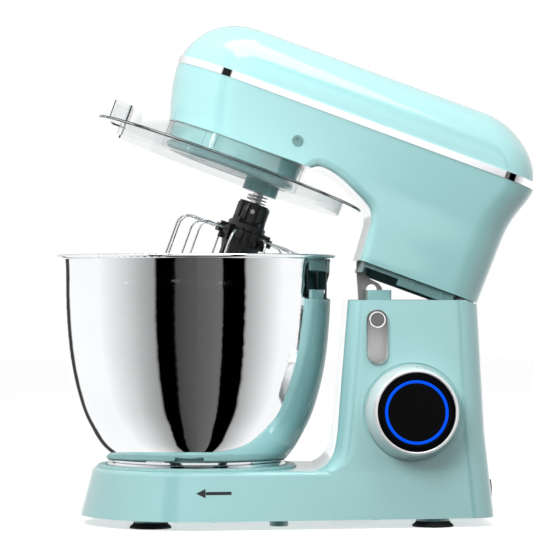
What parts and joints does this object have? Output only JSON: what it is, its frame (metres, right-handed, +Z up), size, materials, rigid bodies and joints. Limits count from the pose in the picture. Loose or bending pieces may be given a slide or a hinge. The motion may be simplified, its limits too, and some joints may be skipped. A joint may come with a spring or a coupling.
{
  "type": "stand mixer",
  "caption": "Tilt-head stand mixer with a planetary whisk, clear splash guard, twist-lock steel bowl, lit speed knob and head release lever.",
  "frame": {"origin": "middle of the footprint of the whole mixer at rest, on the surface it stands on", "axes": "+Z up, -Y the front where the bowl is, +X the side with the knob and lever"},
  "size_m": [0.2396, 0.4092, 0.4259],
  "materials": {
    "mint_plastic": "high gloss mint",
    "mint_inner": "satin, darker mint",
    "polished_steel": "mirror polished",
    "bright_trim": "mirror plated",
    "brushed": "brushed",
    "zinc": "zinc plated",
    "black_gloss": "gloss black",
    "blue_light": "lit blue",
    "black_plastic": "satin black",
    "black_rubber": "matt",
    "clear": "clear moulding",
    "cast_alloy": "as cast",
    "gear_steel": "machined",
    "gear_nylon": "natural",
    "copper": "enamelled winding",
    "board": "solder resist"
  },
  "bodies": {
    "base": {"base_housing": "mint_plastic", "base_bottom_cover": "mint_plastic", "base_cover_screws": "zinc", "rubber_feet": "black_rubber", "foot_screws": "zinc", "bowl_seat_ring": "mint_inner", "column_cap": "mint_plastic", "interlock_switch": "black_plastic", "hinge_bracket": "zinc", "hinge_bolts": "zinc", "hinge_pin": "gear_steel", "hinge_clips": "zinc", "control_board": "board", "board_components": "black_plastic", "speed_encoder": "black_plastic", "cord_outlet_bush": "black_rubber", "lever_bush": "black_plastic", "lever_spring": "zinc"},
    "speed_knob": {"knob_skirt": "bright_trim", "knob_face": "black_gloss", "knob_light_ring": "blue_light", "knob_shaft": "gear_steel"},
    "release_lever": {"lever_plate": "brushed", "lever_disc": "brushed", "lever_shaft": "brushed"},
    "bowl": {"bowl": "polished_steel", "bowl_foot_ring": "polished_steel"},
    "head": {"head_lower_housing": "mint_plastic", "head_top_cover": "mint_plastic", "chrome_trim_band": "bright_trim", "neck_skirt": "mint_inner", "latch_plate": "zinc", "gearbox_casting": "cast_alloy", "motor_plate": "cast_alloy", "ring_gear": "cast_alloy", "motor_can": "brushed", "motor_stator": "copper", "motor_bearings": "gear_steel", "rear_vent_grille": "mint_inner", "side_plugs": "mint_inner", "motor_plate_screws": "zinc", "splash_guard": "clear", "guard_inner_ring": "clear"},
    "motor_rotor": {"motor_rotor": "gear_steel", "motor_fan": "black_plastic", "motor_pinion": "gear_steel"},
    "intermediate": {"intermediate_gear": "gear_nylon", "intermediate_pinion": "gear_steel"},
    "carrier": {"planetary_carrier": "mint_inner", "carrier_shaft": "gear_steel", "carrier_gear": "gear_steel"},
    "output": {"output_shaft": "gear_steel", "planet_pinion": "gear_steel", "cross_pin": "gear_steel", "shaft_spring": "zinc", "whisk_hub": "black_plastic", "whisk_wires": "polished_steel", "whisk_hub_screw": "zinc"}
  },
  "joints": [
    {"name": "head_tilt", "type": "hinge", "parent": "base", "child": "head", "pos_m": [0, 0.1431, 0.1882], "axis": [1, 0, 0], "range_deg": [0, 20]},
    {"name": "carrier_spin", "type": "hinge", "parent": "head", "child": "carrier", "pos_m": [0, -0.04992, 0.32422], "axis": [0, 0.342, 0.9397], "continuous": true},
    {"name": "whisk_spin", "type": "hinge", "parent": "carrier", "child": "output", "pos_m": [0, -0.01985, 0.31328], "axis": [0, 0.342, 0.9397], "continuous": true},
    {"name": "intermediate_spin", "type": "hinge", "parent": "head", "child": "intermediate", "pos_m": [0, 0.01612, 0.32147], "axis": [0, 0.342, 0.9397], "continuous": true},
    {"name": "motor_spin", "type": "hinge", "parent": "head", "child": "motor_rotor", "pos_m": [0, 0.08629, 0.32785], "axis": [0, 0.342, 0.9397], "continuous": true},
    {"name": "speed_knob_turn", "type": "hinge", "parent": "base", "child": "speed_knob", "pos_m": [0.06315, 0.0967, 0.096], "axis": [0.9914, 0.109, 0.0718], "range_deg": [-30, 210]},
    {"name": "release_lever_swing", "type": "hinge", "parent": "base", "child": "release_lever", "pos_m": [0.05993, 0.0665, 0.1741], "axis": [0.9933, 0.0799, 0.0833], "range_deg": [0, 35], "stiffness_Nm_per_rad": 0.25},
    {"name": "bowl_twist", "type": "hinge", "parent": "base", "child": "bowl", "pos_m": [0, -0.0848, 0.05], "axis": [0, 0, 1], "range_deg": [0, 25]}
  ],
  "couplings": [
    {"joint": "whisk_spin", "follows": "carrier_spin", "ratio": -3},
    {"joint": "intermediate_spin", "follows": "carrier_spin", "ratio": -3},
    {"joint": "motor_spin", "follows": "carrier_spin", "ratio": 12}
  ]
}
